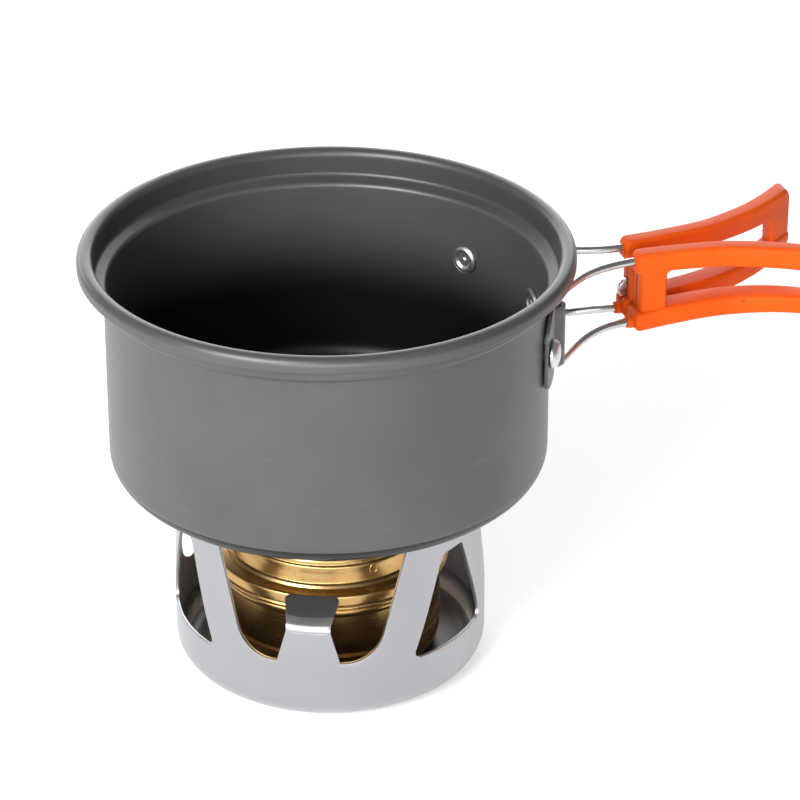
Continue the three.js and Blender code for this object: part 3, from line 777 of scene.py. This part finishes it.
def build_grip(side, label):
    """A moulded grip: a hook of upper arm and tip, a thicker lower arm and a web at the inner end."""
    hook = [
        (GRIP_X0, 14, 2.2), (GRIP_X0, 20.4, 1.5), (96.2, 20.4, 0.4), (96.2, 34.5, 1.5), (104.5, 34.5, 1.5),
        (104.5, 20.5, 1.6), (148.6, 21.1, 2.4), (148.6, 33, 1.5), (GRIP_X1, 31.5, 1.6), (GRIP_X1, 14, 4.2)]
    lower = [
        (94.3, 33.15, 1.5), (94.3, 39.5, 2), (98, 39.15, 20), (112, 37.8, 30), (124, 36.9, 30),
        (137, 35.8, 30), (GRIP_X1, 34.6, 4.2), (GRIP_X1, 28.8, 1.5), (148.6, 29.2, 30), (133, 30.05, 30),
        (118.5, 31.0, 30), (104.5, 32.05, 30)]
    web = [(96.2, 20.6, 1.3), (96.2, 34.5, 1.3), (104.5, 34.5, 1.3), (104.5, 20.6, 1.3)]
    web_line = [Vector((60, WEB_Y)), Vector((200, WEB_Y))]
    obj = slab(f"grip_{label}_moulding", hook, GRIP_T, GRIP_EASE, PLAN_LINE, side)
    cut(obj, slab("lower", lower, ARM_T, GRIP_EASE, ARM_LINE, side, ARM_TIP_T), "UNION")
    cut(obj, slab("web", web, WEB_T, 1.2, web_line, side), "UNION")
    if side > 0:
        cut(obj, tongue_seat())
    shade(obj, 38)
    return obj


def tongue_seat():
    """The slot in the far grip's inner end that holds the tongue."""
    half_t = TONGUE_HALF_T + 0.3
    low = (GRIP_X0 - 2, ENTRY_Y - half_t, pot_z(TONGUE_DROP + TONGUE_R + 0.3))
    high = (TONGUE_ROOT_X + 0.4, ENTRY_Y + half_t, pot_z(TONGUE_DROP - TONGUE_R - 0.3))
    return box_mesh("seat", low, high)


def build_grip_collars(side, label):
    """The thin skin of moulding left on the lower wire where it enters a grip."""
    profile = rounded([(1.3, 0, 0.1), (1.75, 0, 0.3), (2.0, 1.0, 0.8), (2.05, 3.2, 0.1), (1.3, 3.2, 0.1)])
    obj = lathe(f"grip_{label}_collars", profile, 28)
    shift = Matrix.Translation(Vector((GRIP_X0 - 1.9, side * ENTRY_Y, pot_z(WIRE_LOWER_GRIP))) * MM)
    return move(obj, shift @ Matrix.Rotation(math.pi / 2, 4, "Y"))


def build_tongue():
    """The half-round steel tongue set in the far grip."""
    middle = pot_z(TONGUE_DROP)
    loop = [(TONGUE_ROOT_X, middle - TONGUE_R), (TONGUE_ROOT_X, middle + TONGUE_R)]
    loop = anticlockwise(loop + arc(TONGUE_X, middle, TONGUE_R, 90, 270, 20))
    verts = [(x, ENTRY_Y - TONGUE_HALF_T, height) for x, height in loop]
    verts += [(x, ENTRY_Y + TONGUE_HALF_T, height) for x, height in loop]
    count = len(loop)
    faces = [tuple(range(count)), tuple(range(count, 2 * count))]
    faces += [(k, (k + 1) % count, count + (k + 1) % count, count + k) for k in range(count)]
    obj = new_object("latch_tongue_steel", verts, faces)
    ease_edges(obj, 0.3, 3, 50)
    return obj


# ---- materials: lengths are metres ----
POT_INSIDE_REACH = 0.0652
# heights in metres between which the painted shade on the pot's inside fades out going up
POT_PAINTED_SHADE_Z = (0.088, 0.118)
STAND_FLOOR_REACH = 0.0435
STAND_INSIDE_REACH = 0.0468


class Paint:
    """A material under construction, with short calls for the nodes it uses."""

    def __init__(self, name, **sockets):
        self.material = bpy.data.materials.new(name)
        self.material.use_nodes = True
        self.nodes = self.material.node_tree.nodes
        self.links = self.material.node_tree.links
        self.nodes.clear()
        self.output = self.nodes.new("ShaderNodeOutputMaterial")
        self.shader = self.nodes.new("ShaderNodeBsdfPrincipled")
        self.links.new(self.shader.outputs[0], self.output.inputs[0])
        for label, value in sockets.items():
            self.shader.inputs[label.replace("_", " ")].default_value = value
        self.place = self.nodes.new("ShaderNodeTexCoord").outputs["Object"]

    def node(self, kind, **values):
        """A node with its properties set, and its inputs set or linked, by name."""
        made = self.nodes.new(kind)
        for key, value in values.items():
            if hasattr(made, key):
                setattr(made, key, value)
            else:
                self.feed(made.inputs[key.replace("_", " ")], value)
        return made

    def feed(self, socket, value):
        """Links an output to a socket, or sets the socket's own value."""
        if isinstance(value, bpy.types.NodeSocket):
            self.links.new(value, socket)
        else:
            socket.default_value = value

    def math(self, operation, a, b=0.0):
        made = self.node("ShaderNodeMath", operation=operation)
        self.feed(made.inputs[0], a)
        self.feed(made.inputs[1], b)
        return made.outputs[0]

    def scaled(self, x, y, z):
        """Object coordinates stretched by a factor along each axis."""
        return self.node("ShaderNodeMapping", Vector=self.place, Scale=(x, y, z)).outputs[0]

    def split(self):
        """X, Y, Z and the distance from the Z axis, in the object's own coordinates."""
        x, y, z = self.node("ShaderNodeSeparateXYZ", Vector=self.place).outputs
        flat = self.node("ShaderNodeCombineXYZ", X=x, Y=y).outputs[0]
        length = self.node("ShaderNodeVectorMath", operation="LENGTH")
        self.feed(length.inputs[0], flat)
        return x, y, z, length.outputs["Value"]

    def turned(self, around, along):
        """Coordinates that change slowly round the Z axis and fast along or across it, for turned metal."""
        x, y, z, reach = self.split()
        lift = self.math("ADD", self.math("MULTIPLY", z, 0.83), reach)
        made = self.node("ShaderNodeCombineXYZ", X=self.math("MULTIPLY", x, around),
                         Y=self.math("MULTIPLY", y, around), Z=self.math("MULTIPLY", lift, along))
        return made.outputs[0]

    def noise(self, vector, scale, detail=3.0, rough=0.5):
        made = self.node("ShaderNodeTexNoise", Vector=vector, Scale=scale, Detail=detail, Roughness=rough)
        return made.outputs[0]

    def share(self, value, low, high, most=1.0):
        """Rises from 0 to most as a value goes from low to high."""
        made = self.node("ShaderNodeValToRGB", Fac=value)
        for element, position, level in zip(made.color_ramp.elements, (low, high), (0.0, most)):
            element.position = position
            element.color = (level, level, level, 1)
        return made.outputs[0]

    def mix(self, share, a, b, mode="MIX"):
        made = self.node("ShaderNodeMix", data_type="RGBA", blend_type=mode)
        self.feed(made.inputs["Factor"], share)
        for socket, value in ((made.inputs[6], a), (made.inputs[7], b)):
            self.feed(socket, (*value, 1) if isinstance(value, tuple) else value)
        return made.outputs[2]

    def dimmed(self, share, tone, factor):
        """A tone multiplied by a grey factor where share is 1."""
        return self.mix(share, tone, self.mix(1.0, tone, (factor, factor, factor), "MULTIPLY"))

    def span(self, value, first, last, low=0.0, high=1.0, ease="LINEAR"):
        """Goes from first to last as a value goes from low to high."""
        made = self.node("ShaderNodeMapRange", Value=value, From_Min=low, From_Max=high, To_Min=first,
                         To_Max=last, interpolation_type=ease)
        return made.outputs[0]

    def both(self, a, b):
        return self.math("MULTIPLY", a, b)

    def bump(self, height, strength, distance, normal=None):
        made = self.node("ShaderNodeBump", Height=height, Strength=strength, Distance=distance)
        if normal:
            self.feed(made.inputs["Normal"], normal)
        return made.outputs[0]

    def wire(self, **links):
        """Links the shader's inputs and returns the finished material."""
        for label, value in links.items():
            self.feed(self.shader.inputs[label.replace("_", " ")], value)
        return self.material


def shaded(colour, factor):
    """A colour made lighter or darker."""
    return tuple(c * factor for c in colour)


def anodised(name, colour, worn, painted_shade_factor=1.0):
    """Grey hard-anodised aluminium: fine grain, faint drawing lines, slow mottling and rubbed places.

    The pot's inside is painted lighter near the rim and painted darker toward its floor: painted light and
    painted shade, tilted so that the +X side stays lighter. The fourth argument sets how dark the painted
    shade gets at the floor.
    """
    p = Paint(name, Metallic=0.4, IOR=1.45)
    grain = p.noise(p.place, 2600, 2)
    lines = p.noise(p.turned(6, 1500), 1.0, 3)
    patches = p.noise(p.place, 26, 3)
    rubs = p.noise(p.turned(40, 260), 1.0, 4, 0.65)
    tone = p.mix(p.share(patches, 0.3, 0.7), shaded(colour, 0.9), shaded(colour, 1.1))
    tone = p.mix(p.share(rubs, 0.63, 0.8, 0.35), tone, worn)
    x, y, z, reach = p.split()
    # Painted light: the pot's inside is painted 1.3 times lighter.
    painted_inside = p.math("LESS_THAN", reach, POT_INSIDE_REACH)
    above = p.math("GREATER_THAN", z, (POT_Z + 1) * MM)
    # Painted shade: the inside is painted darker toward its floor; the height is tilted along X so the +X
    # side stays lighter.
    height = p.math("ADD", z, p.math("MULTIPLY", x, 0.04))
    painted_shade_share = p.span(height, 1.0, 0.0, *POT_PAINTED_SHADE_Z, "SMOOTHSTEP")
    tone = p.dimmed(painted_inside, tone, 1.3)
    tone = p.dimmed(p.both(p.both(painted_inside, above), painted_shade_share), tone, painted_shade_factor)
    rough = p.math("ADD", p.span(grain, 0.32, 0.45), p.span(lines, -0.05, 0.05))
    normal = p.bump(grain, 0.22, 0.00004, p.bump(lines, 0.12, 0.00006))
    return p.wire(Base_Color=tone, Roughness=rough, Normal=normal)


def satin_steel(name, colour):
    """Satin stainless sheet: fine lines and faint marks, an inner wall made lighter with painted light and a
    floor inside made darker with painted shade.
    """
    p = Paint(name, Metallic=1.0, Anisotropic=0.35)
    lines = p.noise(p.turned(9, 2600), 1.0, 4, 0.6)
    fine = p.noise(p.place, 3200, 2)
    marks = p.noise(p.place, 34, 4, 0.6)
    tone = p.mix(p.share(lines, 0.3, 0.7), shaded(colour, 0.98), shaded(colour, 1.02))
    tone = p.mix(p.share(marks, 0.45, 0.75, 0.25), tone, shaded(colour, 0.86))
    x, y, z, reach = p.split()
    # Painted light: the stand's inner wall is painted 1.8 times lighter.
    lean = p.span(z, 0.0, 0.0012, 0.02, 0.06)
    wall = p.both(p.math("GREATER_THAN", reach, STAND_FLOOR_REACH), p.math("GREATER_THAN", z, 0.008))
    painted_light_wall = p.both(wall, p.math("LESS_THAN", p.math("ADD", reach, lean), STAND_INSIDE_REACH))
    tone = p.dimmed(painted_light_wall, tone, 1.8)
    # Painted shade: the floor inside the stand, under the burner, is painted darker, most at the floor and
    # faintly higher up, on the tabs.
    painted_inside = p.math("LESS_THAN", reach, STAND_FLOOR_REACH)
    above = p.math("GREATER_THAN", z, 0.0005)
    painted_floor_shade = p.span(z, 0.68, 0.12, 0.001, 0.012)
    tone = p.mix(p.both(p.both(painted_inside, above), painted_floor_shade), tone, shaded(colour, 0.18))
    rough = p.math("ADD", p.span(lines, 0.33, 0.41), p.span(marks, -0.04, 0.06))
    normal = p.bump(fine, 0.1, 0.00003, p.bump(lines, 0.08, 0.00003))
    return p.wire(Base_Color=tone, Roughness=rough, Normal=normal)


def brass(name):
    """Turned brass: bright, with lathe lines, smudges and a little brown tarnish."""
    p = Paint(name, Metallic=1.0, Anisotropic=0.25)
    lines = p.noise(p.turned(5, 1800), 1.0, 4, 0.6)
    cloud = p.noise(p.scaled(48, 48, 90), 1.0, 5, 0.6)
    spots = p.noise(p.place, 420, 3)
    tone = p.mix(p.share(cloud, 0.35, 0.68), (0.61, 0.4, 0.17), (0.48, 0.29, 0.1))
    tone = p.mix(p.share(spots, 0.62, 0.74, 0.5), tone, (0.42, 0.25, 0.1))
    rough = p.math("ADD", p.span(cloud, 0.2, 0.34), p.span(lines, -0.03, 0.05))
    normal = p.bump(lines, 0.14, 0.00006, p.bump(spots, 0.1, 0.00005))
    return p.wire(Base_Color=tone, Roughness=rough, Normal=normal)


def bright_metal(name, colour, rough_low, rough_high):
    """Polished steel or aluminium with fine scratches and dull spots."""
    p = Paint(name, Metallic=1.0)
    fine = p.noise(p.place, 1400, 4, 0.65)
    cloud = p.noise(p.place, 180, 3)
    tone = p.mix(p.share(cloud, 0.35, 0.7), colour, shaded(colour, 0.86))
    rough = p.math("ADD", p.span(cloud, rough_low, rough_high), p.span(fine, -0.04, 0.05))
    return p.wire(Base_Color=tone, Roughness=rough, Normal=p.bump(fine, 0.05, 0.00002))


def silicone(name):
    """Moulded orange silicone: smooth, slightly waxy, with fine pores and faint dust."""
    p = Paint(name, Metallic=0.0, IOR=1.28, Specular_IOR_Level=0.25, Subsurface_Weight=0.08,
              Subsurface_Scale=0.0015)
    pores = p.noise(p.place, 2400, 3)
    cloud = p.noise(p.place, 70, 4)
    wave = p.noise(p.place, 160, 2)
    tone = p.mix(p.share(cloud, 0.3, 0.72), (0.66, 0.074, 0.004), (0.74, 0.097, 0.006))
    tone = p.mix(p.share(pores, 0.62, 0.85, 0.2), tone, (0.85, 0.2, 0.05))
    rough = p.math("ADD", p.span(cloud, 0.36, 0.5), p.span(pores, -0.03, 0.05))
    normal = p.bump(pores, 0.1, 0.00004, p.bump(wave, 0.12, 0.0002))
    return p.wire(Base_Color=tone, Roughness=rough, Normal=normal)


def cotton(name):
    """Off-white matted cotton, a little browned by spirit, with fine fibres."""
    p = Paint(name, Metallic=0.0, Sheen_Weight=0.3)
    fibres = p.noise(p.scaled(2600, 2600, 900), 1.0, 5, 0.7)
    stain = p.noise(p.place, 90, 3)
    tone = p.mix(p.share(fibres, 0.3, 0.7), (0.62, 0.57, 0.46), (0.8, 0.77, 0.68))
    tone = p.mix(p.share(stain, 0.45, 0.75, 0.5), tone, (0.45, 0.34, 0.2))
    return p.wire(Base_Color=tone, Roughness=p.span(fibres, 0.85, 1.0), Normal=p.bump(fibres, 0.6, 0.0003))


MATERIALS = {
    # The pot's last number is how dark the painted shade gets at the floor of its inside.
    "pot_metal": anodised("pot_anodised", (0.088, 0.0875, 0.086), (0.17, 0.17, 0.17), 0.075),
    "strap_metal": anodised("strap_anodised", (0.11, 0.115, 0.11), (0.22, 0.22, 0.22)),
    "stand_metal": satin_steel("stand_satin_steel", (0.40, 0.40, 0.416)),
    "brass": brass("burner_brass"),
    "rivet_metal": bright_metal("rivet_aluminium", (0.68, 0.68, 0.68), 0.34, 0.46),
    "wire_steel": bright_metal("wire_polished_steel", (0.56, 0.55, 0.54), 0.2, 0.34),
    "wick_cotton": cotton("wick_matted_cotton"),
    "grip_silicone": silicone("grip_orange_silicone"),
}


def fit(obj, body, slot, *nodes):
    """Gives a piece its material, body and slot, and hides the CAD nodes it stands for."""
    obj.data.materials.clear()
    obj.data.materials.append(MATERIALS[slot])
    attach(obj, body)
    if nodes:
        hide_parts(*nodes)


fit(build_stand(), "stand", "stand_metal", "stand_shell")
fit(build_bowl(), "burner", "brass", "burner_bowl")
fit(build_collar(), "burner", "brass", "burner_collar")
fit(build_sleeve(), "burner", "brass", "burner_sleeve")
fit(build_wick(), "burner", "wick_cotton", "burner_wick")
fit(build_neck_mark(), "burner", "brass")
fit(build_pot(), "pot", "pot_metal", "pot_shell")
fit(build_strap(), "pot", "strap_metal", "handle_strap")
for label, angle in RIVET_ANGLES.items():
    fit(build_rivet(label, angle), "pot", "rivet_metal", f"rivet_{label}")
for side, label in ((-1, "near"), (1, "far")):
    fit(build_wire(side, label), f"{label}_handle", "wire_steel", f"wire_{label}")
    fit(build_grip(side, label), f"{label}_handle", "grip_silicone", f"grip_{label}")
    fit(build_grip_collars(side, label), f"{label}_handle", "grip_silicone")
fit(build_tongue(), "far_handle", "wire_steel", "latch_tongue")


# ---- floor, lights and camera ----
CAMERA_LENS = 162.26
CAMERA_TURN = 18
CAMERA_TILT = 28.013
CAMERA_PLACE = (0.021365, -0.949326, 0.588681)
# area lights as (name, place, target, size, power)
LIGHTS = [
    ("key_left", (-1.0, -0.8, 0.8), (0, 0, 0.08), (0.8, 0.8), 28),
    ("front_low", (-0.4, -1.3, 0.22), (0, 0, 0.05), (0.9, 0.3), 8),
    ("front_high", (-0.2, -1.4, 0.8), (0, 0, 0.1), (0.7, 0.35), 2),
    ("top_back", (0.45, 1.15, 1.0), (0, 0, 0.08), (1.4, 0.8), 9),
    ("back_low", (0.2, 1.3, 0.35), (0, 0, 0.03), (2.0, 0.5), 12),
]


def build_floor():
    """The pale studio floor, a hair below the stand."""
    reach = 3000
    drop = -0.05
    corners = [(-reach, -reach, drop), (reach, -reach, drop), (reach, reach, drop), (-reach, reach, drop)]
    obj = new_object("studio_floor", corners, [(0, 1, 2, 3)])
    p = Paint("floor_white", Roughness=0.9, Emission_Color=(1, 1, 1, 1), Emission_Strength=0.42)
    dust = p.noise(p.place, 5, 2)
    tone = p.mix(dust, (0.78, 0.78, 0.78), (0.81, 0.81, 0.81))
    obj.data.materials.append(p.wire(Base_Color=tone))


def add_light(name, place, target, size, power):
    """A rectangular area light aimed at a target."""
    data = bpy.data.lights.new(name, "AREA")
    data.shape = "RECTANGLE"
    data.size = size[0]
    data.size_y = size[1]
    data.energy = power
    obj = bpy.data.objects.new(name, data)
    bpy.context.scene.collection.objects.link(obj)
    obj.location = place
    obj.rotation_euler = (Vector(target) - Vector(place)).to_track_quat("-Z", "Y").to_euler()


def add_camera():
    """A long lens from the front left, looking down."""
    data = bpy.data.cameras.new("camera")
    data.sensor_width = 36
    data.lens = CAMERA_LENS
    data.clip_end = 20
    obj = bpy.data.objects.new("camera", data)
    bpy.context.scene.collection.objects.link(obj)
    tilt = math.radians(CAMERA_TILT)
    spin = Matrix.Rotation(-math.radians(CAMERA_TURN), 3, "Z")
    ahead = spin @ Vector((0, math.cos(tilt), -math.sin(tilt)))
    obj.location = spin @ Vector(CAMERA_PLACE)
    obj.rotation_euler = ahead.to_track_quat("-Z", "Y").to_euler()
    bpy.context.scene.camera = obj


def add_world():
    """A dim, slightly cool sky all round."""
    world = bpy.data.worlds.new("studio")
    world.use_nodes = True
    background = world.node_tree.nodes["Background"]
    background.inputs["Color"].default_value = (0.95, 0.97, 1, 1)
    background.inputs["Strength"].default_value = 0.22
    bpy.context.scene.world = world
    bpy.context.scene.view_settings.view_transform = "Standard"


build_floor()
for light in LIGHTS:
    add_light(*light)
add_camera()
add_world()
